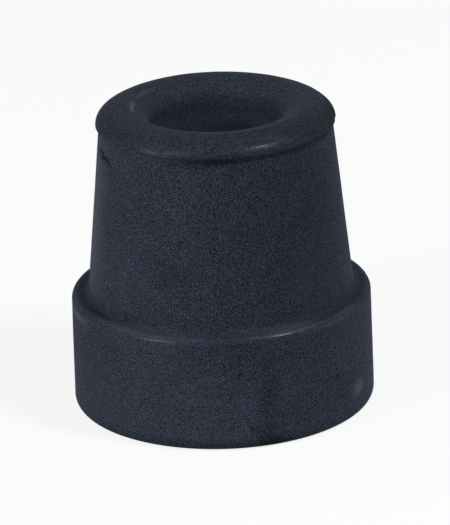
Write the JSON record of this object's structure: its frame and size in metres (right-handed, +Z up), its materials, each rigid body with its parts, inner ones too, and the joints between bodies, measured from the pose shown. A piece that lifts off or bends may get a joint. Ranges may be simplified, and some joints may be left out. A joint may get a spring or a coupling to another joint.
{
  "type": "rubber cane tip",
  "caption": "Push-on rubber tip for the end of a cane: a beaded round mouth and tapered neck over a broad foot with a ringed sole.",
  "frame": {"origin": "middle of the sole, on the floor that the tip stands on", "axes": "+Z up the axis of the socket, out of its mouth; the tip is the same all round, so +X and +Y are free"},
  "size_m": [0.041, 0.041, 0.0422],
  "materials": {
    "rubber": "matte moulded black rubber with a slight blue-grey cast"
  },
  "bodies": {
    "root": {"cane_tip": "rubber"}
  },
  "joints": []
}
